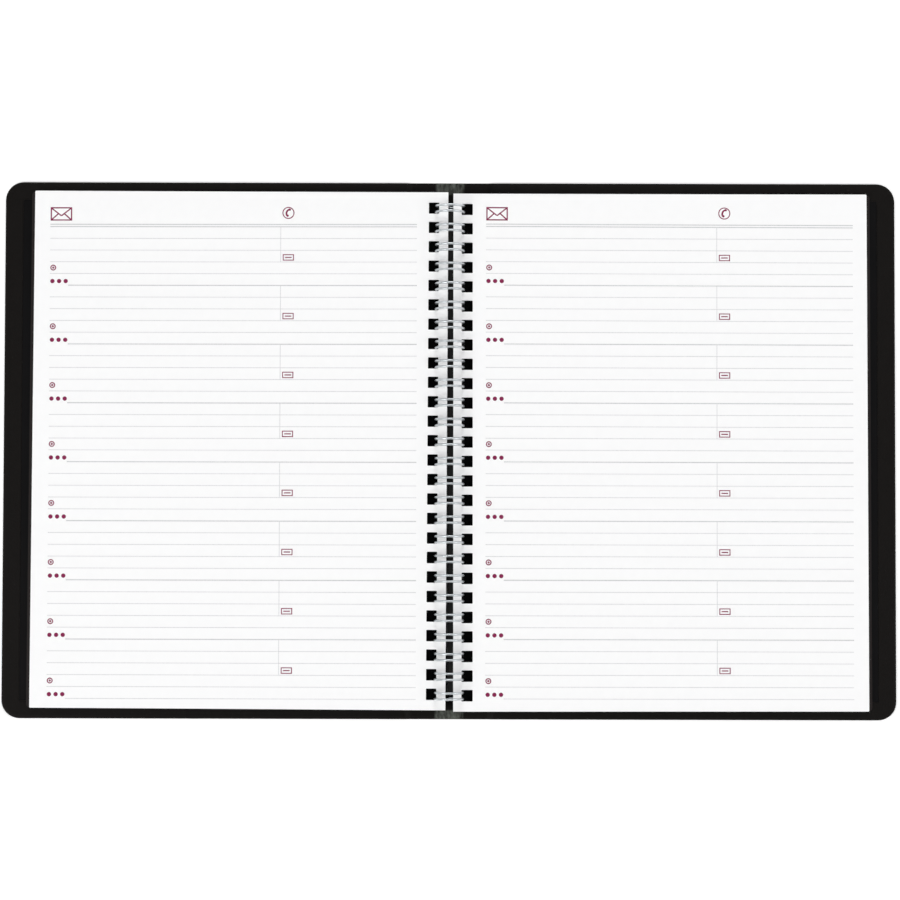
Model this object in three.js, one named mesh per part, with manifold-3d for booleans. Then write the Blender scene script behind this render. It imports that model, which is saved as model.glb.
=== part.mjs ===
// A wire-bound monthly planner lying open and flat.
// Millimetres, +Z up. X runs across both pages and Y up the page. The origin is on the table, under the
// middle of the spine.
import * as THREE from "three";
import { mergeVertices } from "three/addons/utils/BufferGeometryUtils.js";
import Module from "manifold-3d";

const wasm = await Module();
wasm.setup();

// Sheets
const PAGE_WIDTH = 180.98;
const PAGE_HEIGHT = 225.43;
const PAGE_CORNER_RADIUS = 1.2;
const END_SHEET_CORNER_RADIUS = 2.4;
const PAGE_INNER_EDGE = 0.8; // from the middle of the rings to the near edge of a sheet
const LEAF_THICKNESS = 0.26; // one bundle of leaves
const END_SHEET_THICKNESS = 0.3;
const END_SHEET_EXTRA = 1.6; // how far an end sheet passes the leaves at the fore edge
const SHEET_GAP = 0.2;
const SHEET_TILT = THREE.MathUtils.degToRad(0.8); // the rings hold the near edge of each sheet up
const LEAVES_LEFT = 4;
const LEAVES_RIGHT = 4;

// Binding holes and rings
const HOLE_PITCH = 25.4 / 3;
const HOLE_END_MARGIN = 5; // least length of sheet past the middle of the last hole
const HOLE_MARGIN = 3.9; // paper between a hole and the near edge
const HOLE_WIDTH = 4.5;
const HOLE_HEIGHT = 4.2;
const WIRE_RADIUS = 0.5;
const WIRE_SIDES = 5;
const RING_RADIUS = 6.1; // to the middle of the wire
const LOOP_SPREAD = 2.6; // between the two wires of one loop
const RING_CLEARANCE = 0.3; // under the rings
const BASE_ANGLE = -95; // degrees, where the loops spring from the straight links
const REST_ANGLE = 27; // degrees below level, where the lowest sheets hang on the rings
const TIP_ANGLE = 232; // degrees, where each loop turns back
const TRAVEL_STEPS = 7; // straight runs of wire over the rings' upper part
const TIP_STEPS = 3;

// Cover
const HEAD_OVERHANG = 4.485; // past the sheets at the head and the foot
const FORE_OVERHANG = 12.97; // past the leaves at the fore edge
const COVER_CORNER_RADIUS = 8;
const SPINE_WIDTH = 15.4; // between the two creases
const SKIN_THICKNESS = 0.4;
const SKIN_WALL = 0.5;
const BOARD_THICKNESS = 1.3;
const LINING_THICKNESS = 0.3;
const TURN_IN = 7.8;
const HINGE_STRIP = 11.8; // unstiffened width beside each crease
const FIT_GAP = 0.3;
const SKIN_CREASE_GAP = 0.25; // from a crease to the skin on each side of it
const LINING_CREASE_GAP = 0.7;

// Binding flap, welded to the spine
const FLAP_THICKNESS = 0.4;
const FLAP_HEIGHT = 2.8; // underside of the part that hangs on the rings
const FLAP_NEAR = -0.8;
const FLAP_BEND = 5.7; // where the flap turns down to the spine
const FLAP_FOOT_FAR = 6.5;
const FLAP_HOLE_NEAR = 2.1;
const FLAP_HOLE_FAR = 5.0;
const FLAP_END_INSET = 4;

// Worked out from the sizes above
const holeCount = Math.floor((PAGE_HEIGHT - 2 * HOLE_END_MARGIN) / HOLE_PITCH) + 1;
const creaseX = SPINE_WIDTH / 2;
const boardBottom = SKIN_THICKNESS;
const boardTop = boardBottom + BOARD_THICKNESS;
const coverTop = boardTop + LINING_THICKNESS;
const stripTop = SKIN_THICKNESS + LINING_THICKNESS;
const ringZ = stripTop + RING_CLEARANCE + WIRE_RADIUS + RING_RADIUS;
const foreEdge = PAGE_INNER_EDGE + PAGE_WIDTH;
const endSheetEdge = foreEdge + END_SHEET_EXTRA;
const coverEdge = foreEdge + FORE_OVERHANG;
const pageHalf = PAGE_HEIGHT / 2;
const coverHalf = pageHalf + HEAD_OVERHANG;
const firstHoleY = (-(holeCount - 1) / 2) * HOLE_PITCH;
// The lowest sheet touches down on the cover at its fore edge, one fit gap above it.
const lowestDrop =
  (ringZ - coverTop - FIT_GAP - endSheetEdge * Math.sin(SHEET_TILT)) / Math.cos(SHEET_TILT);

const material = (color, roughness, metalness = 0) =>
  new THREE.MeshStandardMaterial({ color, roughness, metalness });
const SKIN_LOOK = material("#141211", 0.55);
const BOARD_LOOK = material("#4a443d", 0.9);
const LINING_LOOK = material("#181614", 0.7);
const END_SHEET_LOOK = material("#15110f", 0.5);
const PAPER_LOOK = material("#f7f7f8", 0.85);
const WIRE_LOOK = material("#c9cdd0", 0.25, 1);

const planner = new THREE.Group();

function addMesh(name, geometry, look, parent = planner) {
  const mesh = new THREE.Mesh(geometry, look);
  mesh.name = name;
  parent.add(mesh);
  return mesh;
}

function toSolid(geometry) {
  const bare = geometry.clone();
  bare.deleteAttribute("normal");
  bare.deleteAttribute("uv");
  const merged = mergeVertices(bare, 1e-5);
  return new wasm.Manifold(
    new wasm.Mesh({
      numProp: 3,
      vertProperties: new Float32Array(merged.attributes.position.array),
      triVerts: new Uint32Array(merged.index.array),
    }),
  );
}

function toGeometry(solid) {
  const { vertProperties, triVerts } = solid.getMesh();
  const geometry = new THREE.BufferGeometry();
  geometry.setAttribute("position", new THREE.BufferAttribute(new Float32Array(vertProperties), 3));
  geometry.setIndex(new THREE.BufferAttribute(new Uint32Array(triVerts), 1));
  geometry.computeVertexNormals();
  return geometry;
}

// A rectangle with its two corners at the far end of X rounded.
function panelShape(near, far, half, radius) {
  const shape = new THREE.Shape();
  shape.moveTo(near, -half);
  shape.lineTo(far - radius, -half);
  shape.absarc(far - radius, -half + radius, radius, -Math.PI / 2, 0, false);
  shape.lineTo(far, half - radius);
  shape.absarc(far - radius, half - radius, radius, 0, Math.PI / 2, false);
  shape.lineTo(near, half);
  shape.closePath();
  return shape;
}

function rectangle(near, far, low, high, Kind = THREE.Shape) {
  const shape = new Kind();
  shape.moveTo(near, low);
  shape.lineTo(far, low);
  shape.lineTo(far, high);
  shape.lineTo(near, high);
  shape.closePath();
  return shape;
}

function plate(shape, bottom, top, curveSegments = 5) {
  const geometry = new THREE.ExtrudeGeometry(shape, {
    depth: top - bottom,
    bevelEnabled: false,
    curveSegments,
  });
  return geometry.translate(0, 0, bottom);
}

// An outline in X and Z, run along Y.
function strip(points, half) {
  const shape = new THREE.Shape(points.map(([x, z]) => new THREE.Vector2(x, z)));
  const geometry = new THREE.ExtrudeGeometry(shape, { depth: 2 * half, bevelEnabled: false });
  return geometry.rotateX(Math.PI / 2).translate(0, half, 0);
}

function holeRows(near, far) {
  return Array.from({ length: holeCount }, (_, i) => {
    const y = firstHoleY + i * HOLE_PITCH;
    return [near, far, y - HOLE_HEIGHT / 2, y + HOLE_HEIGHT / 2];
  });
}

// The front cover is the back cover turned half a turn about the Z axis.
function turned(geometry, side) {
  return side < 0 ? geometry.clone().rotateZ(Math.PI) : geometry;
}

// The skin wraps round the board: a base, a wall at the three free edges and a turned-in lip over them.
function coverSkin() {
  const stripFar = creaseX + HINGE_STRIP;
  const near = creaseX + SKIN_CREASE_GAP;
  const outline = panelShape(near, coverEdge, coverHalf, COVER_CORNER_RADIUS);
  const rim = (inset, bottom, top) => {
    const outer = panelShape(stripFar, coverEdge, coverHalf, COVER_CORNER_RADIUS);
    const inner = panelShape(
      stripFar - TURN_IN,
      coverEdge - inset,
      coverHalf - inset,
      Math.max(COVER_CORNER_RADIUS - inset, PAGE_CORNER_RADIUS),
    );
    return toSolid(plate(outer, bottom, top)).subtract(
      toSolid(plate(inner, bottom - FIT_GAP, top + FIT_GAP)),
    );
  };
  let skin = toSolid(plate(outline, 0, SKIN_THICKNESS))
    .add(rim(SKIN_WALL, SKIN_THICKNESS / 2, coverTop))
    .add(rim(TURN_IN, boardTop, coverTop));
  for (const end of [-1, 1]) {
    skin = skin.add(toSolid(turnInAtEnd(creaseX + LINING_CREASE_GAP, stripFar, end)));
  }
  return toGeometry(skin);
}

// The turned-in skin at the head or foot of an unstiffened stretch.
function turnInAtEnd(near, far, end) {
  const inner = end * (coverHalf - TURN_IN);
  const outer = end * coverHalf;
  const band = rectangle(near, far, Math.min(inner, outer), Math.max(inner, outer));
  return plate(band, SKIN_THICKNESS / 2, stripTop);
}

function coverBoard() {
  const inset = SKIN_WALL + FIT_GAP;
  const outline = panelShape(
    creaseX + HINGE_STRIP + FIT_GAP,
    coverEdge - inset,
    coverHalf - inset,
    COVER_CORNER_RADIUS - inset,
  );
  return plate(outline, boardBottom, boardTop);
}

// One sheet that covers the board, steps down at its edge and lines the strip beside the crease.
function coverLining() {
  const far = coverEdge - TURN_IN - FIT_GAP;
  const step = creaseX + HINGE_STRIP;
  const near = creaseX + LINING_CREASE_GAP;
  const outline = [
    [near, SKIN_THICKNESS],
    [step, SKIN_THICKNESS],
    [step, boardTop],
    [far, boardTop],
    [far, coverTop],
    [step - LINING_THICKNESS, coverTop],
    [step - LINING_THICKNESS, stripTop],
    [near, stripTop],
  ];
  return strip(outline, coverHalf - TURN_IN - FIT_GAP);
}

function addCover(name, side) {
  addMesh(`${name}_cover_skin`, turned(coverSkin(), side), SKIN_LOOK);
  addMesh(`${name}_cover_board`, turned(coverBoard(), side), BOARD_LOOK);
  addMesh(`${name}_cover_lining`, turned(coverLining(), side), LINING_LOOK);
}

function addSpine() {
  const skinFar = creaseX - SKIN_CREASE_GAP;
  const liningFar = creaseX - LINING_CREASE_GAP;
  let skin = toSolid(plate(rectangle(-skinFar, skinFar, -coverHalf, coverHalf), 0, SKIN_THICKNESS));
  for (const end of [-1, 1]) {
    skin = skin.add(toSolid(turnInAtEnd(-liningFar, liningFar, end)));
  }
  addMesh("spine_skin", toGeometry(skin), SKIN_LOOK);
  const liningHalf = coverHalf - TURN_IN - FIT_GAP;
  const lining = rectangle(-liningFar, liningFar, -liningHalf, liningHalf);
  addMesh("spine_lining", plate(lining, SKIN_THICKNESS, stripTop), LINING_LOOK);
}

// A folded strip on the spine with the same holes as the sheets, which holds the rings to the cover.
function addBindingFlap() {
  const top = FLAP_HEIGHT + FLAP_THICKNESS;
  const outline = [
    [FLAP_NEAR, FLAP_HEIGHT],
    [FLAP_BEND - FLAP_THICKNESS, FLAP_HEIGHT],
    [FLAP_BEND - FLAP_THICKNESS, stripTop],
    [FLAP_FOOT_FAR, stripTop],
    [FLAP_FOOT_FAR, stripTop + FLAP_THICKNESS],
    [FLAP_BEND, stripTop + FLAP_THICKNESS],
    [FLAP_BEND, top],
    [FLAP_NEAR, top],
  ];
  let flap = toSolid(strip(outline, coverHalf - TURN_IN - FLAP_END_INSET));
  for (const [near, far, low, high] of holeRows(FLAP_HOLE_NEAR, FLAP_HOLE_FAR)) {
    const cutter = plate(rectangle(near, far, low, high), FLAP_HEIGHT - FIT_GAP, top + FIT_GAP);
    flap = flap.subtract(toSolid(cutter));
  }
  addMesh("binding_flap", toGeometry(flap), LINING_LOOK);
}

// A sheet's solid in the frame of the rings, on the right-hand side. drop is from the middle of the
// rings down to its underside.
function sheet(drop, thickness, far, cornerRadius) {
  const outline = panelShape(PAGE_INNER_EDGE, far, pageHalf, cornerRadius);
  const near = PAGE_INNER_EDGE + HOLE_MARGIN;
  for (const hole of holeRows(near, near + HOLE_WIDTH)) {
    outline.holes.push(rectangle(...hole, THREE.Path));
  }
  return plate(outline, -drop, thickness - drop, 3);
}

function addSheets(name, side, leaves) {
  const stack = new THREE.Group();
  stack.position.z = ringZ;
  stack.rotation.y = side * SHEET_TILT;
  planner.add(stack);
  const endSheet = sheet(lowestDrop, END_SHEET_THICKNESS, endSheetEdge, END_SHEET_CORNER_RADIUS);
  addMesh(`${name}_end_sheet`, turned(endSheet, side), END_SHEET_LOOK, stack);
  let drop = lowestDrop - END_SHEET_THICKNESS - SHEET_GAP;
  for (let number = leaves; number >= 1; number--) {
    const leaf = sheet(drop, LEAF_THICKNESS, foreEdge, PAGE_CORNER_RADIUS);
    addMesh(`${name}_leaf_${number}`, turned(leaf, side), PAPER_LOOK, stack);
    drop -= LEAF_THICKNESS + SHEET_GAP;
  }
}

// The comb's centre line: out of each straight link, round the ring, back at the tip and down again.
// Each point is [angle in degrees, y].
function combLine() {
  const lowArc = -REST_ANGLE;
  const highArc = 180 + REST_ANGLE;
  const angles = [(BASE_ANGLE + lowArc) / 2];
  for (let i = 0; i <= TRAVEL_STEPS; i++) {
    angles.push(lowArc + ((highArc - lowArc) * i) / TRAVEL_STEPS);
  }
  const line = [];
  const spread = LOOP_SPREAD / 2;
  const bendAngle = THREE.MathUtils.radToDeg(spread / RING_RADIUS);
  for (let k = 0; k < holeCount; k++) {
    const y = firstHoleY + k * HOLE_PITCH;
    line.push([BASE_ANGLE, y - 2 * spread], [BASE_ANGLE + bendAngle / 2, y - spread]);
    line.push(...angles.map((angle) => [angle, y - spread]));
    for (let i = 0; i <= TIP_STEPS; i++) {
      const turn = (Math.PI * i) / TIP_STEPS;
      line.push([
        TIP_ANGLE - bendAngle + bendAngle * Math.sin(turn),
        y - spread * Math.cos(turn),
      ]);
    }
    line.push(...angles.map((angle) => [angle, y + spread]).reverse());
    line.push([BASE_ANGLE + bendAngle / 2, y + spread], [BASE_ANGLE, y + 2 * spread]);
  }
  return line;
}

// How near the wire comes to itself, measured between points that are not neighbours along it.
function leastGap(places) {
  const apart = 2 * LOOP_SPREAD;
  let least = Infinity;
  places.forEach((here, i) => {
    let along = 0;
    for (let k = i + 1; k < places.length; k++) {
      along += places[k].distanceTo(places[k - 1]);
      if (along > apart) least = Math.min(least, places[k].distanceTo(here));
    }
  });
  return least - 2 * WIRE_RADIUS;
}

function addWireComb() {
  const outward = combLine().map(([angle]) => {
    const turn = THREE.MathUtils.degToRad(angle);
    return new THREE.Vector3(Math.cos(turn), 0, Math.sin(turn));
  });
  const places = combLine().map(([, y], i) =>
    outward[i].clone().multiplyScalar(RING_RADIUS).add(new THREE.Vector3(0, y, ringZ)),
  );
  const last = places.length - 1;
  const positions = [];
  places.forEach((place, i) => {
    const before = place.clone().sub(places[Math.max(i - 1, 0)]).normalize();
    const after = places[Math.min(i + 1, last)].clone().sub(place).normalize();
    const tangent = before.add(after).normalize();
    const side = tangent.clone().cross(outward[i]).normalize();
    const normal = side.clone().cross(tangent);
    for (let k = 0; k < WIRE_SIDES; k++) {
      const turn = (2 * Math.PI * k) / WIRE_SIDES;
      const point = place
        .clone()
        .addScaledVector(normal, WIRE_RADIUS * Math.cos(turn))
        .addScaledVector(side, WIRE_RADIUS * Math.sin(turn));
      positions.push(...point.toArray());
    }
  });
  const index = [];
  for (let i = 0; i < last; i++) {
    for (let k = 0; k < WIRE_SIDES; k++) {
      const a = i * WIRE_SIDES + k;
      const b = i * WIRE_SIDES + ((k + 1) % WIRE_SIDES);
      index.push(a, b, a + WIRE_SIDES, b, b + WIRE_SIDES, a + WIRE_SIDES);
    }
  }
  const end = last * WIRE_SIDES;
  for (let k = 1; k < WIRE_SIDES - 1; k++) {
    index.push(0, k + 1, k, end, end + k, end + k + 1);
  }
  const geometry = new THREE.BufferGeometry();
  geometry.setAttribute("position", new THREE.Float32BufferAttribute(positions, 3));
  geometry.setIndex(index);
  geometry.computeVertexNormals();
  addMesh("wire_comb", geometry, WIRE_LOOK);
  console.log(`least gap of the wire to itself: ${leastGap(places).toFixed(2)} mm`);
}

addCover("front", -1);
addCover("back", 1);
addSpine();
addBindingFlap();
addWireComb();
addSheets("left", -1, LEAVES_LEFT);
addSheets("right", 1, LEAVES_RIGHT);

export default planner;
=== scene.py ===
# A wire-bound planner lying open, dressed for a camera above it.
# Sizes are in millimetres and are turned into metres when a mesh is made. X runs across both pages, Y up
# the page and Z up from the table.
import math

import bmesh
import bpy
import numpy as np
from mathutils import Matrix, Vector
from mathutils.geometry import delaunay_2d_cdt


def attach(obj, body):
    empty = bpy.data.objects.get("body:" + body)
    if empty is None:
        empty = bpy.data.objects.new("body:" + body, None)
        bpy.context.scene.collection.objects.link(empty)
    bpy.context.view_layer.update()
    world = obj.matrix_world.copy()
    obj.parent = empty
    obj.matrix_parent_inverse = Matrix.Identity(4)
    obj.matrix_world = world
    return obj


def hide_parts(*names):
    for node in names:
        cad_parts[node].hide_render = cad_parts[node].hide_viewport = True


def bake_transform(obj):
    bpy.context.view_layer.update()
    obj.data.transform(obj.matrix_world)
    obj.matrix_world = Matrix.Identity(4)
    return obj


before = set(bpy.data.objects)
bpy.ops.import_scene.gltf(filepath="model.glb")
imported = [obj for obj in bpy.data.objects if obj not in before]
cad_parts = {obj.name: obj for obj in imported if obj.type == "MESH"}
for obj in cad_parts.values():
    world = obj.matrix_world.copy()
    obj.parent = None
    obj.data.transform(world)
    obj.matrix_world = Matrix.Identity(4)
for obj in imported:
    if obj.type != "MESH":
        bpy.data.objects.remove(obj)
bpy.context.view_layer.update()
MM = 0.001

# Sheets, as in the solids
PAGE_WIDTH = 180.98
PAGE_HEIGHT = 225.43
PAGE_INNER_EDGE = 0.8
LEAF_THICKNESS = 0.26
END_SHEET_THICKNESS = 0.3
END_SHEET_EXTRA = 1.6  # how much further than the leaves the end sheets reach
SHEET_GAP = 0.2
SHEET_TILT = math.radians(0.8)
LEAVES = 4

# Binding, as in the solids
HOLE_COUNT = 26
HOLE_PITCH = 25.4 / 3
WIRE_RADIUS = 0.5
RING_RADIUS = 6.1
LOOP_SPREAD = 2.6  # between the two strands of a loop
BASE_ANGLE = -95  # degrees round the rings, where the loops begin
TIP_ANGLE = 232  # and where they end

# Cover, as in the solids
HEAD_OVERHANG = 4.485
FORE_OVERHANG = 12.97
COVER_CORNER_RADIUS = 8
SPINE_WIDTH = 15.4
SKIN_THICKNESS = 0.4
SKIN_WALL = 0.5
BOARD_THICKNESS = 1.3
LINING_THICKNESS = 0.3
TURN_IN = 7.8
HINGE_STRIP = 11.8  # width beside a crease that has no board
FIT_GAP = 0.3  # between the end sheets' edges and the cover below
RING_CLEARANCE = 0.3

# Shape that only the dressed pieces have
LEAF_SHEETS = 3  # sheets of paper in one leaf bundle
PAPER_SHARE = 0.85  # how much of a bundle's height is paper, the rest being air
LEAF_SAG = 0.35
PAGE_CORNER_RADIUS = 0.5
INNER_TRIM = 0.35  # taken off the sheets beside the rings
END_SHEET_CORNER_RADIUS = 1.5
HOLE_FAR = 9.6  # the holes' outer edge, from the middle of the rings
HOLE_HEIGHT = 5.0
HOLE_CORNER_RADIUS = 0.3
WIRE_CLEARANCE = 0.03  # between the wire and the near edge of a hole
STACK_SHIFT = {-1: (0, -0.3), 1: (0.5, -0.85)}  # how the sheets of each side have slid on the rings
STACK_TURN = {-1: -0.0033, 1: 0.002}  # and how far they have turned, in radians
COMB_SHIFT = -0.9  # how far the comb has slid toward the foot
WIRE_BEND_SHARE = 0.8  # radius of the bends between loops, as a share of half the spread
STEP_SLOPE = 3.2  # width of the slope from the board down to the strip beside it
LINING_GAP = 0.05  # between the lining and the turned-in edge of the skin
LINING_EDGE = 0.1  # bevel round the lining
SEAM = 0.02  # how far the lining lies below the skin's face and above its floor
WRINKLE_HEIGHT = 0.03
EDGE_RADIUS_THIN = 0.3
EDGE_RADIUS_THICK = 0.85
EDGE_MARGIN = 1  # flat strip beside a rounded edge
LIP_EDGE_RADIUS = 0.1
CREASE_BEND = 1.5  # half the width that bends at a crease
SPINE_SHEEN_EDGE = (5.4, 6.6)  # where the painted sheen on the spine fades out, from its middle
SPINE_SHEEN_BLUR = 0.4  # half the width over which the painted sheen fades in beside the sheets
SHEETS_MIDDLE_Y = -0.6  # of both stacks of sheets together

# How finely the shapes are divided
EDGE_STEPS = 6
COVER_CORNER_STEPS = 10
PAGE_CORNER_STEPS = 3
HOLE_CORNER_STEPS = 2
WIRE_BEND_STEPS = 6
HANDLE_STEPS = 6
DIAL_SIDES = 28
RING_SIDES = 20
DOT_SIDES = 14
SMALL_DOT_SIDES = 12
COVER_ROW_SPACING = 12
LINING_ROW_SPACING = 4
SHEET_FIRST_FOLD = 6  # where the sheets begin to bend, from the middle of the rings
SHEET_FOLD_SPACING = 16
WIRE_SPACING = 0.7
WELD = 1e-4  # points closer than this become one
PRINT_WELD = 1e-5  # the same where the printing is cut
WIRE_WELD = 0.01
CASE_SHARP_ANGLE = 35
SHEET_SHARP_ANGLE = 30

# Worked out from the sizes above
crease_x = SPINE_WIDTH / 2
board_top = SKIN_THICKNESS + BOARD_THICKNESS
cover_top = board_top + LINING_THICKNESS
strip_top = SKIN_THICKNESS + LINING_THICKNESS
ring_z = strip_top + RING_CLEARANCE + WIRE_RADIUS + RING_RADIUS
fore_edge = PAGE_INNER_EDGE + PAGE_WIDTH
end_sheet_edge = fore_edge + END_SHEET_EXTRA
cover_edge = fore_edge + FORE_OVERHANG
page_half = PAGE_HEIGHT / 2
cover_half = page_half + HEAD_OVERHANG
first_hole_y = -(HOLE_COUNT - 1) / 2 * HOLE_PITCH
lowest_drop = ring_z - cover_top - FIT_GAP - end_sheet_edge * math.sin(SHEET_TILT)
lowest_drop /= math.cos(SHEET_TILT)


# Camera and stage

CAMERA_PLACE = (0.22, -48.9, 1201.5)
CAMERA_TILT = 0.0408
CAMERA_ROLL = 0.0026
CAMERA_LENS = 110
LAMP_SIZE = 0.8
LAMPS = {  # place in metres and power in watts
    "key": ((-1.0, -0.7, 1.2), 13),
    "fill": ((1.2, -0.3, 1.1), 9),
    "back": ((0.1, 1.3, 1.1), 9),
}
SKY_STRENGTH = (0.62, 0.34)  # at the horizon and overhead
WHITE_SKY = (0.1, 0.5)  # heights between which a mirror stops seeing the white background
FLOOR_LIFT = 0.35  # how much the floor is brightened for the camera and for mirrors
FLOOR_REACH = 3.0
FLOOR_DROP = 0.0001


def add_camera():
    camera = bpy.data.cameras.new("camera")
    camera.lens = CAMERA_LENS
    camera.sensor_width = 36
    camera.clip_end = 20
    seen = bpy.data.objects.new("camera", camera)
    seen.matrix_world = (
        Matrix.Translation(Vector(CAMERA_PLACE) * MM)
        @ Matrix.Rotation(CAMERA_TILT, 4, "X")
        @ Matrix.Rotation(CAMERA_ROLL, 4, "Z")
    )
    bpy.context.collection.objects.link(seen)
    bpy.context.scene.camera = seen


def add_lamp(name, place, power):
    """A square lamp that points at the middle of the planner."""
    lamp = bpy.data.lights.new(name, "AREA")
    lamp.size = LAMP_SIZE
    lamp.energy = power
    hung = bpy.data.objects.new(name, lamp)
    hung.location = place
    hung.rotation_euler = (-Vector(place)).to_track_quat("-Z", "Y").to_euler()
    bpy.context.collection.objects.link(hung)


def seen_mask(nodes, links):
    """Two nodes: 1 for rays from a mirror or glass, and 1 for those and rays from the camera.
    The second still needs the first, or a share of it, on its other socket."""
    rays = nodes.new("ShaderNodeLightPath")
    mirrored = nodes.new("ShaderNodeMath")
    mirrored.operation = "MAXIMUM"
    seen = nodes.new("ShaderNodeMath")
    seen.operation = "MAXIMUM"
    links.new(rays.outputs["Is Glossy Ray"], mirrored.inputs[0])
    links.new(rays.outputs["Is Transmission Ray"], mirrored.inputs[1])
    links.new(rays.outputs["Is Camera Ray"], seen.inputs[0])
    return mirrored, seen


def light_world():
    bpy.context.scene.view_settings.view_transform = "Standard"
    world = bpy.data.worlds.new("studio")
    bpy.context.scene.world = world
    world.use_nodes = True
    nodes, links = world.node_tree.nodes, world.node_tree.links
    nodes.clear()
    place = nodes.new("ShaderNodeTexCoord")
    split = nodes.new("ShaderNodeSeparateXYZ")
    low = nodes.new("ShaderNodeMapRange")
    low.inputs["From Min"].default_value, low.inputs["From Max"].default_value = WHITE_SKY
    low.inputs["To Min"].default_value = 1.0
    low.inputs["To Max"].default_value = 0.0
    fall = nodes.new("ShaderNodeMapRange")
    fall.inputs["To Min"].default_value, fall.inputs["To Max"].default_value = SKY_STRENGTH
    mirrored, seen = seen_mask(nodes, links)
    near_horizon = nodes.new("ShaderNodeMath")
    near_horizon.operation = "MULTIPLY"
    soft = nodes.new("ShaderNodeBackground")
    white = nodes.new("ShaderNodeBackground")
    mix = nodes.new("ShaderNodeMixShader")
    out = nodes.new("ShaderNodeOutputWorld")
    links.new(place.outputs["Generated"], split.inputs[0])
    links.new(split.outputs["Z"], low.inputs["Value"])
    links.new(split.outputs["Z"], fall.inputs["Value"])
    links.new(mirrored.outputs[0], near_horizon.inputs[0])
    links.new(low.outputs[0], near_horizon.inputs[1])
    links.new(near_horizon.outputs[0], seen.inputs[1])
    links.new(fall.outputs[0], soft.inputs["Strength"])
    links.new(seen.outputs[0], mix.inputs[0])
    links.new(soft.outputs[0], mix.inputs[1])
    links.new(white.outputs[0], mix.inputs[2])
    links.new(mix.outputs[0], out.inputs["Surface"])


def floor_material():
    look = bpy.data.materials.new("floor_white")
    look.use_nodes = True
    nodes, links = look.node_tree.nodes, look.node_tree.links
    shader = nodes["Principled BSDF"]
    shader.inputs["Base Color"].default_value = (0.86, 0.86, 0.86, 1)
    shader.inputs["Roughness"].default_value = 0.9
    shader.inputs["Specular IOR Level"].default_value = 0.1
    mirrored, seen = seen_mask(nodes, links)
    lift = nodes.new("ShaderNodeMath")
    lift.operation = "MULTIPLY"
    lift.inputs[1].default_value = FLOOR_LIFT
    links.new(mirrored.outputs[0], seen.inputs[1])
    links.new(seen.outputs[0], lift.inputs[0])
    shader.inputs["Emission Color"].default_value = (1, 1, 1, 1)
    links.new(lift.outputs[0], shader.inputs["Emission Strength"])
    return look


def add_floor():
    mesh = bpy.data.meshes.new("floor")
    corners = [(-1, -1), (1, -1), (1, 1), (-1, 1)]
    places = [(x * FLOOR_REACH, y * FLOOR_REACH, -FLOOR_DROP) for x, y in corners]
    mesh.from_pydata(places, [], [(0, 1, 2, 3)])
    mesh.materials.append(floor_material())
    floor = bpy.data.objects.new("floor", mesh)
    bpy.context.collection.objects.link(floor)


# Materials

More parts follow.
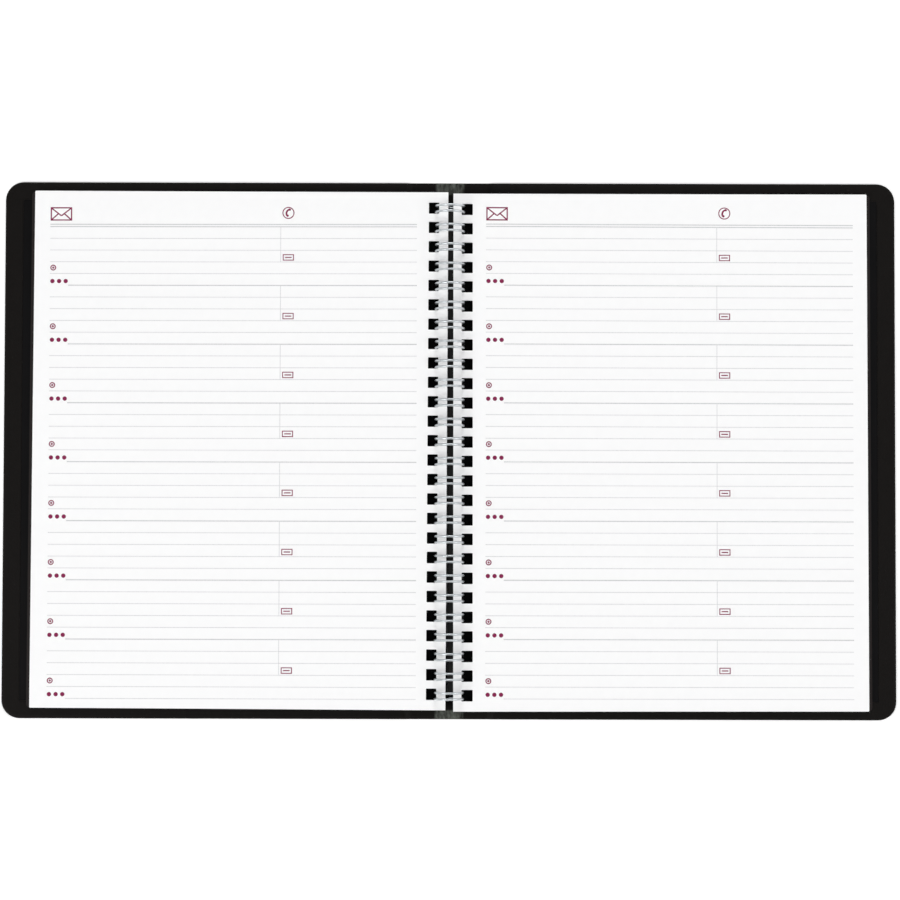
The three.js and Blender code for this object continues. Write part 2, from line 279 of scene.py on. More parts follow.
class Look:
    """A material with short ways to add texture nodes to its shader.
    Texture scales are in cells per metre."""

    def __init__(self, name, color, roughness, metallic=0.0, specular=0.5, follow_rest=False):
        self.material = bpy.data.materials.new(name)
        self.material.use_nodes = True
        self.nodes = self.material.node_tree.nodes
        self.links = self.material.node_tree.links
        self.shader = self.nodes["Principled BSDF"]
        self.shader.inputs["Base Color"].default_value = (*color, 1)
        self.shader.inputs["Roughness"].default_value = roughness
        self.shader.inputs["Metallic"].default_value = metallic
        self.shader.inputs["Specular IOR Level"].default_value = specular
        if follow_rest:
            self.place = self.attribute("rest_place", "Vector")
        else:
            self.place = self.nodes.new("ShaderNodeTexCoord").outputs["Object"]

    def attribute(self, name, output):
        node = self.nodes.new("ShaderNodeAttribute")
        node.attribute_name = name
        return node.outputs[output]

    def spine_sheen_share(self):
        """1 on the inside of the spine above and below the sheets, where a pale sheen is painted on the
        skin.
        """
        split = self.nodes.new("ShaderNodeSeparateXYZ")
        self.links.new(self.place, split.inputs[0])
        across = self.math("ABSOLUTE", split.outputs["X"], 0.0)
        along = self.math("ABSOLUTE", self.math("ADD", split.outputs["Y"], -SHEETS_MIDDLE_Y * MM), 0.0)
        narrow = self.spread(across, 1, 0, SPINE_SHEEN_EDGE[0] * MM, SPINE_SHEEN_EDGE[1] * MM)
        fade = (page_half - SPINE_SHEEN_BLUR) * MM, (page_half + SPINE_SHEEN_BLUR) * MM
        beyond = self.spread(along, 0, 1, *fade)
        inside = self.spread(split.outputs["Z"], 0, 1, SKIN_THICKNESS * MM, strip_top * MM)
        return self.math("MULTIPLY", self.math("MULTIPLY", narrow, beyond), inside)

    def stretched(self, scale):
        node = self.nodes.new("ShaderNodeMapping")
        node.inputs["Scale"].default_value = scale
        self.links.new(self.place, node.inputs["Vector"])
        return node.outputs[0]

    def noise(self, scale, detail=3.0, place=None):
        node = self.nodes.new("ShaderNodeTexNoise")
        node.inputs["Scale"].default_value = scale
        node.inputs["Detail"].default_value = detail
        self.links.new(place or self.place, node.inputs["Vector"])
        return node.outputs["Fac"]

    def cells(self, scale):
        node = self.nodes.new("ShaderNodeTexVoronoi")
        node.feature = "DISTANCE_TO_EDGE"
        node.inputs["Scale"].default_value = scale
        self.links.new(self.place, node.inputs["Vector"])
        return node.outputs["Distance"]

    def spread(self, value, low, high, from_low=0.0, from_high=1.0):
        """Maps from_low to low and from_high to high."""
        node = self.nodes.new("ShaderNodeMapRange")
        node.inputs["From Min"].default_value = from_low
        node.inputs["From Max"].default_value = from_high
        node.inputs["To Min"].default_value = low
        node.inputs["To Max"].default_value = high
        self.links.new(value, node.inputs["Value"])
        return node.outputs[0]

    def math(self, operation, first, second):
        node = self.nodes.new("ShaderNodeMath")
        node.operation = operation
        for socket, value in zip(node.inputs, (first, second)):
            if isinstance(value, float):
                socket.default_value = value
            else:
                self.links.new(value, socket)
        return node.outputs[0]

    def blend_colors(self, factor, first, second):
        node = self.nodes.new("ShaderNodeMix")
        node.data_type = "RGBA"
        self.links.new(factor, node.inputs["Factor"])
        for name, color in (("A", first), ("B", second)):
            socket = [s for s in node.inputs if s.name == name and s.type == "RGBA"][0]
            if isinstance(color, tuple):
                socket.default_value = (*color, 1)
            else:
                self.links.new(color, socket)
        return [s for s in node.outputs if s.type == "RGBA"][0]

    def color(self, value):
        self.links.new(value, self.shader.inputs["Base Color"])

    def roughness(self, value):
        self.links.new(value, self.shader.inputs["Roughness"])

    def bump(self, height, depth_mm, strength=1.0):
        node = self.nodes.new("ShaderNodeBump")
        node.inputs["Strength"].default_value = strength
        node.inputs["Distance"].default_value = depth_mm * MM
        self.links.new(height, node.inputs["Height"])
        before = self.shader.inputs["Normal"]
        if before.is_linked:
            self.links.new(before.links[0].from_socket, node.inputs["Normal"])
        self.links.new(node.outputs["Normal"], before)


def leatherette_look():
    base = (0.005, 0.004, 0.003)
    look = Look("cover_leatherette", color=base, roughness=0.55, specular=0.12, follow_rest=True)
    grain = look.spread(look.cells(1100), 0, 1, from_high=0.25)
    patches = look.noise(240, detail=5.0)
    rubbed = look.spread(look.noise(260), 0, 1, from_low=0.4, from_high=0.7)
    wear = look.math("MULTIPLY", look.attribute("wear", "Fac"), rubbed)
    shade = look.blend_colors(patches, (0.0022, 0.0015, 0.0011), (0.0042, 0.003, 0.0024))
    worn = look.blend_colors(wear, shade, (0.014, 0.011, 0.01))
    # Painted sheen: pale streaks are painted over the spine at the head and foot, standing in for the
    # light that the skin catches there
    sheen_streaks = look.noise(1.0, detail=4.0, place=look.stretched((620, 300, 620)))
    sheen_streak_mask = look.spread(sheen_streaks, 0, 1, from_low=0.3, from_high=0.7)
    painted_sheen = look.blend_colors(sheen_streak_mask, (0.015, 0.015, 0.013), (0.12, 0.13, 0.115))
    look.color(look.blend_colors(look.spine_sheen_share(), worn, painted_sheen))
    look.roughness(look.spread(patches, 0.5, 0.62))
    look.bump(grain, depth_mm=0.05, strength=0.6)
    look.bump(look.noise(420, detail=2.0), depth_mm=0.05, strength=0.35)
    return look.material


def lining_look():
    base = (0.002, 0.002, 0.0024)
    look = Look("cover_lining", color=base, roughness=0.5, specular=0.1, follow_rest=True)
    wrinkles = look.noise(1.0, detail=3.0, place=look.stretched((420, 45, 420)))
    look.color(look.blend_colors(look.noise(40), (0.0012, 0.0011, 0.0014), (0.003, 0.0027, 0.0033)))
    look.roughness(look.spread(look.noise(90), 0.42, 0.6))
    look.bump(wrinkles, depth_mm=0.06, strength=0.4)
    look.bump(look.noise(1900, detail=2.0), depth_mm=0.02, strength=0.4)
    return look.material


def paper_look():
    look = Look("ruled_paper", color=(0.93, 0.93, 0.93), roughness=0.85, specular=0.2)
    fibres = look.noise(1.0, detail=4.0, place=look.stretched((900, 2600, 900)))
    clouds = look.noise(300, detail=5.0)
    look.color(look.blend_colors(clouds, (0.915, 0.915, 0.918), (0.948, 0.948, 0.95)))
    look.roughness(look.spread(fibres, 0.78, 0.92))
    look.bump(fibres, depth_mm=0.012, strength=0.4)
    return look.material


def ink_look(name, pale, dark):
    look = Look(name, color=dark, roughness=0.7, specular=0.3)
    speckle = look.spread(look.noise(2200, detail=3.0), 0, 1, from_low=0.35, from_high=0.65)
    look.color(look.blend_colors(speckle, pale, dark))
    look.roughness(look.spread(look.noise(1500), 0.62, 0.8))
    look.bump(look.noise(2600, detail=2.0), depth_mm=0.006, strength=0.3)
    return look.material


def card_look():
    look = Look("end_sheet", color=(0.008, 0.005, 0.005), roughness=0.45, specular=0.3)
    clouds = look.noise(220, detail=4.0)
    look.color(look.blend_colors(clouds, (0.007, 0.004, 0.004), (0.013, 0.007, 0.0065)))
    look.roughness(look.spread(look.noise(500, detail=3.0), 0.38, 0.56))
    look.bump(look.noise(1300, detail=3.0), depth_mm=0.02, strength=0.4)
    return look.material


def board_look():
    look = Look("cover_board", color=(0.09, 0.075, 0.06), roughness=0.9, specular=0.2)
    layers = look.noise(1.0, detail=4.0, place=look.stretched((200, 200, 5000)))
    look.color(look.blend_colors(layers, (0.07, 0.058, 0.046), (0.13, 0.11, 0.09)))
    look.roughness(look.spread(layers, 0.84, 0.96))
    look.bump(layers, depth_mm=0.05, strength=0.5)
    return look.material


def wire_look():
    look = Look("binding_wire", color=(0.58, 0.6, 0.62), roughness=0.3, metallic=1.0)
    drawn = look.noise(1.0, detail=2.0, place=look.stretched((3000, 700, 3000)))
    look.color(look.blend_colors(look.noise(350), (0.5, 0.53, 0.55), (0.66, 0.69, 0.71)))
    look.roughness(look.spread(drawn, 0.22, 0.38))
    look.bump(drawn, depth_mm=0.008, strength=0.3)
    return look.material


def flap_look():
    look = Look("binding_flap", color=(0.01, 0.009, 0.009), roughness=0.5, specular=0.35)
    look.color(look.blend_colors(look.noise(160), (0.008, 0.007, 0.007), (0.015, 0.014, 0.013)))
    look.roughness(look.spread(look.noise(420), 0.4, 0.6))
    look.bump(look.noise(1600, detail=2.0), depth_mm=0.02, strength=0.4)
    return look.material


# Meshes

def add_piece(name, bm, looks, sharp_angle):
    """A mesh piece from a bmesh in millimetres."""
    bmesh.ops.remove_doubles(bm, verts=bm.verts[:], dist=WELD)
    bmesh.ops.scale(bm, vec=(MM, MM, MM), verts=bm.verts[:])
    mesh = bpy.data.meshes.new(name)
    bm.to_mesh(mesh)
    bm.free()
    for look in looks:
        mesh.materials.append(look)
    mesh.shade_smooth()
    mesh.set_sharp_from_angle(angle=math.radians(sharp_angle))
    piece = bpy.data.objects.new(name, mesh)
    bpy.context.collection.objects.link(piece)
    return piece


def store_rest_place(mesh):
    """Keeps each point's place at rest, so that a texture bends with the piece."""
    places = np.empty(len(mesh.vertices) * 3, dtype=np.float32)
    mesh.vertices.foreach_get("co", places)
    mesh.attributes.new("rest_place", "FLOAT_VECTOR", "POINT").data.foreach_set("vector", places)


def even_steps(low, high, most):
    """Places from low to high that are at most so far apart."""
    count = max(1, math.ceil((high - low) / most))
    return [low + (high - low) * i / count for i in range(count + 1)]


def cover_stations():
    """Places across one half of the cover, close together where it bends or steps."""
    near = crease_x - CREASE_BEND
    far = crease_x + CREASE_BEND
    step = crease_x + HINGE_STRIP
    corner = cover_edge - COVER_CORNER_RADIUS
    stretches = [  # from, to and the widest spacing between
        (0, near, 1.0),
        (near, far, 0.3),
        (far, step - STEP_SLOPE, 1.5),
        (step - STEP_SLOPE, step, 0.25),
        (step, corner, COVER_ROW_SPACING),
    ]
    places = []
    for low, high, most in stretches:
        places.extend(even_steps(low, high, most)[:-1])
    return [*places, corner]


def thickness_share(x):
    """0 over the spine and the strips beside it, 1 over the board."""
    step = crease_x + HINGE_STRIP
    t = (abs(x) - step + STEP_SLOPE) / STEP_SLOPE
    t = min(max(t, 0), 1)
    return t * t * (3 - 2 * t)


def top_height(x):
    return strip_top + (cover_top - strip_top) * thickness_share(x)


def edge_radius(x):
    return EDGE_RADIUS_THIN + (EDGE_RADIUS_THICK - EDGE_RADIUS_THIN) * thickness_share(x)


def case_rings():
    """From the cavity's floor, round the turned-in lip and the rim, to the underside.
    Each is (inset from the edge, height, wear), as functions of x."""
    lip = LINING_THICKNESS - SEAM
    lip_edge = TURN_IN - LIP_EDGE_RADIUS
    rings = [
        (lambda x: COVER_CORNER_RADIUS, lambda x: SKIN_THICKNESS, 0),
        (lambda x: SKIN_WALL, lambda x: SKIN_THICKNESS, 0),
        (lambda x: SKIN_WALL, lambda x: top_height(x) - lip, 0),
        (lambda x: TURN_IN, lambda x: top_height(x) - lip, 0),
        (lambda x: TURN_IN, lambda x: top_height(x) - LIP_EDGE_RADIUS, 0),
        (lambda x: lip_edge, lambda x: top_height(x), 0),
        (lambda x: lip_edge - EDGE_MARGIN, lambda x: top_height(x), 0),
        (lambda x: EDGE_RADIUS_THICK + EDGE_MARGIN, lambda x: top_height(x), 0),
    ]
    quarter = [math.pi / 2 * i / EDGE_STEPS for i in range(EDGE_STEPS + 1)]
    for turn in quarter:
        rings.append((
            lambda x, turn=turn: edge_radius(x) * (1 - math.sin(turn)),
            lambda x, turn=turn: top_height(x) - edge_radius(x) * (1 - math.cos(turn)),
            math.sin(turn),
        ))
    for turn in quarter:
        rings.append((
            lambda x, turn=turn: edge_radius(x) * (1 - math.cos(turn)),
            lambda x, turn=turn: edge_radius(x) * (1 - math.sin(turn)),
            math.cos(turn),
        ))
    rings.append((lambda x: COVER_CORNER_RADIUS, lambda x: 0, 0))
    return rings


def half_outline(stations, rows, inset):
    """The cover's outline on the +X side at an inset from its edge, from the head round to the foot."""
    corner_x = cover_edge - COVER_CORNER_RADIUS
    corner_y = cover_half - COVER_CORNER_RADIUS
    radius = COVER_CORNER_RADIUS - inset(corner_x)
    shares = [i / COVER_CORNER_STEPS for i in range(1, COVER_CORNER_STEPS)]
    head_turns = [math.pi / 2 * (1 - share) for share in shares]
    foot_turns = [-math.pi / 2 * share for share in shares]
    points = [(x, cover_half - inset(x)) for x in stations]
    points += [(corner_x + radius * math.cos(t), corner_y + radius * math.sin(t)) for t in head_turns]
    points += [(cover_edge - inset(cover_edge), y) for y in reversed(rows)]
    points += [(corner_x + radius * math.cos(t), -corner_y + radius * math.sin(t)) for t in foot_turns]
    points += [(x, inset(x) - cover_half) for x in reversed(stations)]
    return points


def add_grid(bm, stations, rows, height, upward):
    verts = [[bm.verts.new((x, y, height(x))) for y in rows] for x in stations]
    for i in range(len(stations) - 1):
        for k in range(len(rows) - 1):
            corners = [verts[i][k], verts[i + 1][k], verts[i + 1][k + 1], verts[i][k + 1]]
            bm.faces.new(corners if upward else corners[::-1])
    return verts


def cover_case(name, side, looks):
    """Half of the wraparound skin: the panel, the strip beside its crease and half of the spine."""
    stations = cover_stations()
    row_end = cover_half - COVER_CORNER_RADIUS
    rows = even_steps(-row_end, row_end, COVER_ROW_SPACING)
    bm = bmesh.new()
    wear_layer = bm.verts.layers.float.new("wear")
    rings = []
    for inset, height, wear in case_rings():
        ring = []
        for x, y in half_outline(stations, rows, inset):
            vert = bm.verts.new((x, y, height(x)))
            vert[wear_layer] = wear
            ring.append(vert)
        rings.append(ring)
    for inner, outer in zip(rings, rings[1:]):
        for a, b, c, d in zip(inner, inner[1:], outer[1:], outer):
            bm.faces.new((a, b, c, d))
    add_grid(bm, stations, rows, lambda x: SKIN_THICKNESS, True)
    add_grid(bm, stations, rows, lambda x: 0, False)
    bmesh.ops.remove_doubles(bm, verts=bm.verts[:], dist=WELD)
    bmesh.ops.holes_fill(bm, edges=[edge for edge in bm.edges if edge.is_boundary])
    bmesh.ops.recalc_face_normals(bm, faces=bm.faces[:])
    turn_to_side(bm, side)
    piece = add_piece(name, bm, looks, CASE_SHARP_ANGLE)
    store_rest_place(piece.data)
    return piece


def turn_to_side(bm, side):
    if side < 0:
        bmesh.ops.rotate(bm, cent=(0, 0, 0), matrix=Matrix.Rotation(math.pi, 3, "Z"), verts=bm.verts[:])


def lining_height(x, y):
    """The lining's top, with soft wrinkles over the strip beside the crease."""
    loose = 1 - thickness_share(x)
    wave = math.sin(x * 1.9 + 1.3 * math.sin(y * 0.11)) * math.sin(y * 0.23 + x * 0.7)
    return top_height(x) - SEAM + WRINKLE_HEIGHT * loose * wave


def cover_lining(name, side, looks):
    """Half of the lining: over the board, down the step and along half of the spine."""
    far = cover_edge - TURN_IN - LINING_GAP
    half = cover_half - TURN_IN - LINING_GAP
    rows = even_steps(-half, half, LINING_ROW_SPACING)
    rows = [-half, -half + LINING_EDGE, *rows[1:-1], half - LINING_EDGE, half]
    bevel_x = far - LINING_EDGE
    stations = [*[x for x in cover_stations() if x < bevel_x], bevel_x, far]
    bm = bmesh.new()

    def top(x, y):
        rim = x == far or abs(y) == half
        return lining_height(x, y) - (LINING_EDGE if rim else 0)

    verts = {}
    for x in stations:
        for y in rows:
            verts[x, y, 1] = bm.verts.new((x, y, top(x, y)))
            verts[x, y, 0] = bm.verts.new((x, y, top_height(x) - LINING_THICKNESS + SEAM))
    for x, next_x in zip(stations, stations[1:]):
        for y, next_y in zip(rows, rows[1:]):
            around = [(x, y), (next_x, y), (next_x, next_y), (x, next_y)]
            bm.faces.new([verts[a, b, 1] for a, b in around])
            bm.faces.new([verts[a, b, 0] for a, b in reversed(around)])
    rim = [(x, rows[0]) for x in stations] + [(far, y) for y in rows[1:]]
    rim += [(x, rows[-1]) for x in reversed(stations[:-1])] + [(0, y) for y in reversed(rows[:-1])]
    for (ax, ay), (bx, by) in zip(rim, rim[1:]):
        bm.faces.new((verts[ax, ay, 0], verts[bx, by, 0], verts[bx, by, 1], verts[ax, ay, 1]))
    bmesh.ops.recalc_face_normals(bm, faces=bm.faces[:])
    turn_to_side(bm, side)
    piece = add_piece(name, bm, looks, CASE_SHARP_ANGLE)
    store_rest_place(piece.data)
    return piece


# Printing on the pages

# Places are in millimetres to the right of and below the left end of the second header rule. That end is
# itself placed from the middle of the rings and the top of the page, on the left and the right page.
RULE_START = {-1: (-174.7, 15.15), 1: (15.2, 14.3)}
RULE_WIDTH = 160.3
HEADER_RULE_GAP = 1.0
ROW_PITCH = 5.14
ROWS = 5
BLOCKS = 8
THIN_LINE = 0.28
THICK_LINE = 0.42
COLUMN_X = 100.8
DIVIDER_START = 8
COLUMN_ROWS = 3
MARK_LINE = 0.56
LINE_END_SHARE = 0.7  # how far a slanting line ends inside a corner, as a share of MARK_LINE
ENVELOPE = (0.1, -8.5, 9.4, 5.9)  # left, top, width and height
ENVELOPE_TIP = 0.64  # shares of its height and width, here and in the next line
ENVELOPE_FOLD = (0.15, 0.5)
DIAL_CENTRE = (104.1, -6.1)
DIAL_RADIUS = 2.65
DIAL_LINE = 0.448
HANDLE_CENTRE = (105.1, -5.8)
HANDLE_REACH = 1.9
HANDLE_LEAN = -0.35
HANDLE_SWEEP = 1.7
HANDLE_WIDTH = 0.76
HANDLE_END_SHIFT = 0.3
HANDLE_END_RADIUS = 0.52
SLIP = (0.9, 12, 4.9, 2.8)  # left of the column line, below the top of the entry, width and height
SLIP_LINE = 0.42
SLIP_BAR = (1, 1.15, 2.9, 0.5)
RING_CENTRE = (1.4, 18)
RING_RADII = (1.3, 0.8, 0.5)
DOT_X = (1.1, 4, 6.9)
DOT_DROP = 23.9
DOT_RADIUS = 0.96
PAPER, THIN_INK, THICK_INK, CRIMSON = range(4)
CUT = -1


def box_shape(left, top, width, height):
    return [(left, top), (left + width, top), (left + width, top + height), (left, top + height)]


def disc_shape(x, y, radius, sides):
    turns = [2 * math.pi * i / sides for i in range(sides)]
    return [(x + radius * math.cos(t), y + radius * math.sin(t)) for t in turns]


def stroke_shape(start, end, width):
    along = (Vector(end) - Vector(start)).normalized() * width / 2
    across = Vector((-along.y, along.x))
    a, b = Vector(start), Vector(end)
    return [tuple(p) for p in (a + across, b + across, b - across, a - across)]


def outlined(outer, inner):
    return [(outer, CRIMSON), (inner, PAPER)]


def envelope_mark():
    left, top, width, height = ENVELOPE
    inner = (left + MARK_LINE, top + MARK_LINE, width - 2 * MARK_LINE, height - 2 * MARK_LINE)
    shapes = outlined(box_shape(*ENVELOPE), box_shape(*inner))
    inset = MARK_LINE * LINE_END_SHARE
    middle = left + width / 2
    tip = (middle, top + height * ENVELOPE_TIP)
    fold_x, fold_y = ENVELOPE_FOLD
    for side, corner_x in ((-1, left + inset), (1, left + width - inset)):
        fold = (middle + side * width * fold_x, top + height * fold_y)
        shapes.append((stroke_shape((corner_x, top + inset), tip, MARK_LINE), CRIMSON))
        shapes.append((stroke_shape((corner_x, top + height - inset), fold, MARK_LINE), CRIMSON))
    return shapes


def dial_mark():
    """A ring with a curved handle in it."""
    inner_radius = DIAL_RADIUS - DIAL_LINE
    outer = disc_shape(*DIAL_CENTRE, DIAL_RADIUS, DIAL_SIDES)
    shapes = outlined(outer, disc_shape(*DIAL_CENTRE, inner_radius, DIAL_SIDES))
    x, y = HANDLE_CENTRE
    shares = [i / HANDLE_STEPS - 0.5 for i in range(HANDLE_STEPS + 1)]
    turns = [math.pi + HANDLE_LEAN + share * HANDLE_SWEEP for share in shares]
    handle = [(x + HANDLE_REACH * math.cos(t), y - HANDLE_REACH * math.sin(t)) for t in turns]
    for start, end in zip(handle, handle[1:]):
        shapes.append((stroke_shape(start, end, HANDLE_WIDTH), CRIMSON))
    for spot in handle[1:-1]:
        shapes.append((disc_shape(*spot, HANDLE_WIDTH / 2, SMALL_DOT_SIDES), CRIMSON))
    for end_x, end_y in (handle[0], handle[-1]):
        knob = disc_shape(end_x + HANDLE_END_SHIFT, end_y, HANDLE_END_RADIUS, DOT_SIDES)
        shapes.append((knob, CRIMSON))
    return shapes


def block_marks(top):
    """The small marks in one entry: a slip, a dotted ring and three dots."""
    left, down, width, height = SLIP
    slip_x, slip_y = COLUMN_X + left, top + down
    inner_size = (width - 2 * SLIP_LINE, height - 2 * SLIP_LINE)
    inner = box_shape(slip_x + SLIP_LINE, slip_y + SLIP_LINE, *inner_size)
    shapes = outlined(box_shape(slip_x, slip_y, width, height), inner)
    bar_x, bar_y, *bar_size = SLIP_BAR
    shapes.append((box_shape(slip_x + bar_x, slip_y + bar_y, *bar_size), CRIMSON))
    ring = (RING_CENTRE[0], top + RING_CENTRE[1])
    outer_radius, inner_radius, dot_radius = RING_RADII
    outer = disc_shape(*ring, outer_radius, RING_SIDES)
    shapes += outlined(outer, disc_shape(*ring, inner_radius, RING_SIDES))
    shapes.append((disc_shape(*ring, dot_radius, SMALL_DOT_SIDES), CRIMSON))
    shapes += [(disc_shape(x, top + DOT_DROP, DOT_RADIUS, DOT_SIDES), CRIMSON) for x in DOT_X]
    return shapes


def ruling():
    """Everything printed on a page as (outline, ink), later ones over earlier ones."""
    shapes = []
    for drop in (-HEADER_RULE_GAP, 0):
        shapes.append((box_shape(0, drop - THICK_LINE / 2, RULE_WIDTH, THICK_LINE), THICK_INK))
    for block in range(BLOCKS):
        top = block * ROWS * ROW_PITCH
        for row in range(1, ROWS + 1):
            divider = row == ROWS and block < BLOCKS - 1
            ink, line = (THICK_INK, THICK_LINE) if divider else (THIN_INK, THIN_LINE)
            start = DIVIDER_START if row == ROWS else 0
            drop = top + row * ROW_PITCH
            shapes.append((box_shape(start, drop - line / 2, RULE_WIDTH - start, line), ink))
        column = box_shape(COLUMN_X - THIN_LINE / 2, top, THIN_LINE, COLUMN_ROWS * ROW_PITCH)
        shapes.append((column, THIN_INK))
        shapes += block_marks(top)
    return shapes + envelope_mark() + dial_mark()


def rounded_box(near, far, low, high, radius, steps):
    """A rectangle with four round corners."""
    centres = [(far - radius, high - radius), (near + radius, high - radius)]
    centres += [(near + radius, low + radius), (far - radius, low + radius)]
    points = []
    for quarter, (x, y) in enumerate(centres):
        for i in range(steps + 1):
            turn = math.pi / 2 * (quarter + i / steps)
            points.append((x + radius * math.cos(turn), y + radius * math.sin(turn)))
    return points


def hole_near(side, drop):
    """Where the holes begin, just clear of the wire, in a sheet that far below the rings' middle."""
    below = drop + RING_RADIUS * math.tan(SHEET_TILT)
    wire = math.sqrt((RING_RADIUS - WIRE_RADIUS) ** 2 - below ** 2)
    turned = abs(STACK_TURN[side]) * page_half
    return wire - turned - side * STACK_SHIFT[side][0] - WIRE_CLEARANCE


def sheet_outlines(side, far, radius, drop):
    """The sheet's outline and its holes, on its own side of the rings."""
    near = PAGE_INNER_EDGE + INNER_TRIM
    outline = [(side * near, -page_half)]
    for end in (-1, 1):
        for i in range(PAGE_CORNER_STEPS + 1):
            share = i / PAGE_CORNER_STEPS
            turn = math.pi / 2 * (share if end > 0 else share - 1)
            x = far - radius + radius * math.cos(turn)
            outline.append((side * x, end * (page_half - radius) + radius * math.sin(turn)))
    outline.append((side * near, page_half))
    hole_ends = sorted((side * hole_near(side, drop), side * HOLE_FAR))
    holes = []
    for k in range(HOLE_COUNT):
        y = first_hole_y + k * HOLE_PITCH
        low, high = y - HOLE_HEIGHT / 2, y + HOLE_HEIGHT / 2
        holes.append(rounded_box(*hole_ends, low, high, HOLE_CORNER_RADIUS, HOLE_CORNER_STEPS))
    return outline, holes


def place_print(x, y, slope):
    """Printing lies level on the table, although the sheets have turned a little."""
    return x + y * slope, y - x * slope


def printed(side, underside):
    """The ruling as it lies on a sheet of that side, seen from above or on its underside."""
    start, header = RULE_START[-side if underside else side]
    flip = -1 if underside else 1
    slope = math.tan(STACK_TURN[side])
    return [
        ([place_print(flip * (start + x), page_half - header - drop, slope) for x, drop in outline], ink)
        for outline, ink in ruling()
    ]


def counterclockwise(loop):
    twice_area = sum(ax * by - bx * ay for (ax, ay), (bx, by) in zip(loop, [*loop[1:], loop[0]]))
    return loop if twice_area > 0 else loop[::-1]


def flat_faces(outline, holes, shapes):
    """Triangles of a flat sheet as (corner points, ink), cut along everything printed on it."""
    points, loops, inks = [], [], []
    for any_way, ink in [(outline, PAPER), *shapes, *[(hole, CUT) for hole in holes]]:
        loop = counterclockwise(any_way)
        loops.append(list(range(len(points), len(points) + len(loop))))
        points.extend(Vector(point) for point in loop)
        inks.append(ink)
    places, _, faces, _, _, sources = delaunay_2d_cdt(points, [], loops, 1, PRINT_WELD, True)
    triangles = []
    for face, source in zip(faces, sources):
        ink = inks[max(source)]
        if ink != CUT:
            triangles.append(([tuple(places[i]) for i in face], ink))
    return triangles


def add_flat(bm, triangles, z, upward):
    verts = {}
    for corners, ink in triangles:
        for corner in corners:
            if corner not in verts:
                verts[corner] = bm.verts.new((*corner, z))
        loop = [verts[corner] for corner in corners]
        face = bm.faces.new(loop)
        face.normal_update()
        if (face.normal.z > 0) != upward:
            face.normal_flip()
        face.material_index = ink


def add_wall(bm, loop, bottom, top):
    low = [bm.verts.new((x, y, bottom)) for x, y in loop]
    high = [bm.verts.new((x, y, top)) for x, y in loop]
    for i in range(len(loop)):
        k = (i + 1) % len(loop)
        bm.faces.new((low[i], low[k], high[k], high[i]))


def bend_sheet(bm, side):
    """Tilts the sheet from the rings to the cover and lets its middle sag."""
    for fold in even_steps(SHEET_FIRST_FOLD, fore_edge, SHEET_FOLD_SPACING)[:-1]:
        geometry = bm.verts[:] + bm.edges[:] + bm.faces[:]
        bmesh.ops.bisect_plane(bm, geom=geometry, plane_co=(side * fold, 0, 0), plane_no=(1, 0, 0))
    shift_x, shift_y = STACK_SHIFT[side]
    turn = STACK_TURN[side]
    for vert in bm.verts:
        reach = abs(vert.co.x)
        share = min(max((reach - PAGE_INNER_EDGE) / PAGE_WIDTH, 0), 1)
        vert.co.z += ring_z - reach * math.tan(SHEET_TILT) - 4 * LEAF_SAG * share * (1 - share)
        x, y = vert.co.x, vert.co.y
        vert.co.x = x * math.cos(turn) - y * math.sin(turn) + shift_x
        vert.co.y = x * math.sin(turn) + y * math.cos(turn) + shift_y


def add_sheet(bm, outlines, bottom, top, top_faces, under_faces):
    outline, holes = outlines
    add_flat(bm, top_faces, top, True)
    add_flat(bm, under_faces, bottom, False)
    for loop in (outline, *holes):
        add_wall(bm, loop, bottom, top)


def leaf_bundle(name, side, drop, looks):
    """A few sheets of paper, printed on the outside of the first and the last."""
    bm = bmesh.new()
    outlines = sheet_outlines(side, fore_edge, PAGE_CORNER_RADIUS, drop)
    plain = flat_faces(*outlines, [])
    printed_top = flat_faces(*outlines, printed(side, False))
    printed_under = flat_faces(*outlines, printed(side, True))
    pitch = LEAF_THICKNESS / LEAF_SHEETS
    thickness = pitch * PAPER_SHARE
    for k in range(LEAF_SHEETS):
        bottom = -drop + k * pitch
        top_faces = printed_top if k == LEAF_SHEETS - 1 else plain
        under_faces = printed_under if k == 0 else plain
        add_sheet(bm, outlines, bottom, bottom + thickness, top_faces, under_faces)
    bmesh.ops.remove_doubles(bm, verts=bm.verts[:], dist=WELD)
    bmesh.ops.recalc_face_normals(bm, faces=bm.faces[:])
    bend_sheet(bm, side)
    return add_piece(name, bm, looks, SHEET_SHARP_ANGLE)


def end_sheet(name, side, looks):
    bm = bmesh.new()
    outlines = sheet_outlines(side, end_sheet_edge, END_SHEET_CORNER_RADIUS, lowest_drop)
    plain = flat_faces(*outlines, [])
    add_sheet(bm, outlines, -lowest_drop, END_SHEET_THICKNESS - lowest_drop, plain, plain)
    bmesh.ops.remove_doubles(bm, verts=bm.verts[:], dist=WELD)
    bmesh.ops.recalc_face_normals(bm, faces=bm.faces[:])
    bend_sheet(bm, side)
    return add_piece(name, bm, looks, SHEET_SHARP_ANGLE)


# Wire comb

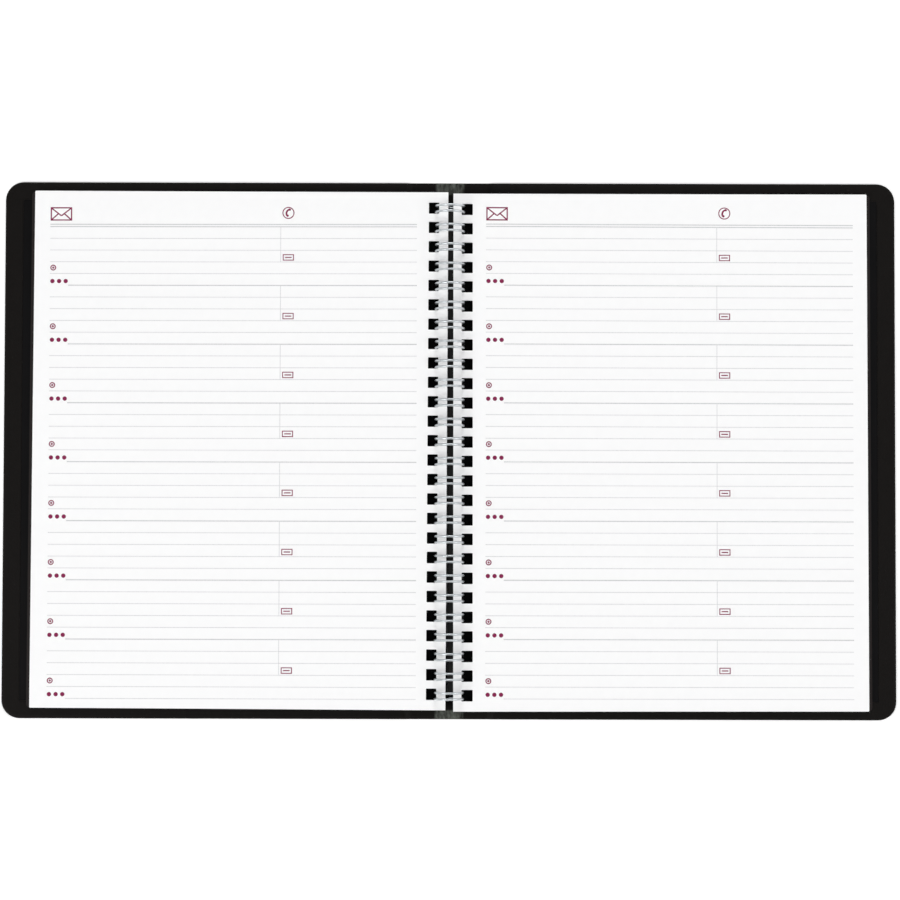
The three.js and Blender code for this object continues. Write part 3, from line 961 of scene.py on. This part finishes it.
def wire_line():
    """The comb's centre line as (way round the ring in millimetres, y), with round bends."""
    def way(angle):
        return math.radians(angle) * RING_RADIUS

    half = LOOP_SPREAD / 2
    base, tip = way(BASE_ANGLE), way(TIP_ANGLE) - half
    bend = half * WIRE_BEND_SHARE
    turns = WIRE_BEND_STEPS
    straight = even_steps(base + bend, tip, WIRE_SPACING)
    line = []
    for k in range(HOLE_COUNT):
        y = first_hole_y + k * HOLE_PITCH + COMB_SHIFT
        line.append((base, y - 2 * half))
        for i in range(turns + 1):
            turn = math.pi / 2 * i / turns
            line.append((base + bend * (1 - math.cos(turn)), y - half - bend * (1 - math.sin(turn))))
        line += [(place, y - half) for place in straight[1:-1]]
        for i in range(2 * turns + 1):
            turn = math.pi * i / (2 * turns)
            line.append((tip + half * math.sin(turn), y - half * math.cos(turn)))
        line += [(place, y + half) for place in reversed(straight[1:-1])]
        for i in range(turns + 1):
            turn = math.pi / 2 * (1 - i / turns)
            line.append((base + bend * (1 - math.cos(turn)), y + half + bend * (1 - math.sin(turn))))
        line.append((base, y + 2 * half))
    return line


def wire_comb(name, looks):
    curve = bpy.data.curves.new(name, "CURVE")
    curve.dimensions = "3D"
    curve.bevel_depth = WIRE_RADIUS * MM
    curve.bevel_resolution = 3
    curve.use_fill_caps = True
    points = []
    for place, y in wire_line():
        turn = place / RING_RADIUS
        spot = (RING_RADIUS * math.cos(turn), y, ring_z + RING_RADIUS * math.sin(turn))
        if not points or (Vector(spot) - Vector(points[-1])).length > WIRE_WELD:
            points.append(spot)
    spline = curve.splines.new("POLY")
    spline.points.add(len(points) - 1)
    for point, spot in zip(spline.points, points):
        point.co = (*(c * MM for c in spot), 1)
    for look in looks:
        curve.materials.append(look)
    piece = bpy.data.objects.new(name, curve)
    bpy.context.collection.objects.link(piece)
    return piece


# Assembly

def dress(piece, nodes, body):
    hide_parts(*nodes)
    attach(piece, body)


def dress_cover(side, cover, extra_nodes, looks):
    """One half of the cover, with its crease and half of the spine."""
    case = cover_case(f"{cover}_case", side, [looks["skin"]])
    lining = cover_lining(f"{cover}_inside", side, [looks["lining"]])
    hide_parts(f"{cover}_skin", *[node for node in extra_nodes if node.endswith("skin")])
    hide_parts(f"{cover}_lining", *[node for node in extra_nodes if node.endswith("lining")])
    for piece in (case, lining):
        if side > 0:
            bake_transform(piece)
        else:
            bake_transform(piece)
    paint_node(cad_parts[f"{cover}_board"], looks["board"])


def paint_node(node, look):
    for slot in node.material_slots:
        slot.material = look


def dress_sheets(side, name, leaf_bodies, end_body, looks):
    inks = [looks["paper"], looks["thin_ink"], looks["thick_ink"], looks["crimson"]]
    piece = end_sheet(f"{name}_end_card", side, [looks["card"]])
    dress(piece, [f"{name}_end_sheet"], end_body)
    drop = lowest_drop - END_SHEET_THICKNESS - SHEET_GAP
    for number in range(LEAVES, 0, -1):
        piece = leaf_bundle(f"{name}_pages_{number}", side, drop, inks)
        dress(piece, [f"{name}_leaf_{number}"], leaf_bodies[number])
        drop -= LEAF_THICKNESS + SHEET_GAP


def dress_planner():
    looks = {
        "skin": leatherette_look(),
        "lining": lining_look(),
        "board": board_look(),
        "card": card_look(),
        "paper": paper_look(),
        "thin_ink": ink_look("thin_rule_ink", (0.7, 0.7, 0.71), (0.6, 0.6, 0.62)),
        "thick_ink": ink_look("thick_rule_ink", (0.62, 0.62, 0.63), (0.52, 0.52, 0.54)),
        "crimson": ink_look("crimson_ink", (0.25, 0.012, 0.075), (0.17, 0.002, 0.045)),
        "wire": wire_look(),
        "flap": flap_look(),
    }
    dress_cover(1, "back_cover", ["spine_skin", "spine_lining"], looks)
    dress_cover(-1, "front_cover", [], looks)
    paint_node(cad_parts["binding_flap"], looks["flap"])
    comb = wire_comb("twin_loop_wire", [looks["wire"]])
    dress(comb, ["wire_comb"], "spine")
    left_bodies = {4: "left_pages", 3: "left_pages", 2: "left_leaf_under", 1: "left_leaf_top"}
    right_bodies = {4: "right_pages", 3: "right_pages", 2: "right_leaf_under", 1: "right_leaf_top"}
    dress_sheets(-1, "left", left_bodies, "left_pages", looks)
    dress_sheets(1, "right", right_bodies, "right_end", looks)


add_camera()
light_world()
for lamp_name, (lamp_place, lamp_power) in LAMPS.items():
    add_lamp(lamp_name, lamp_place, lamp_power)
add_floor()
dress_planner()
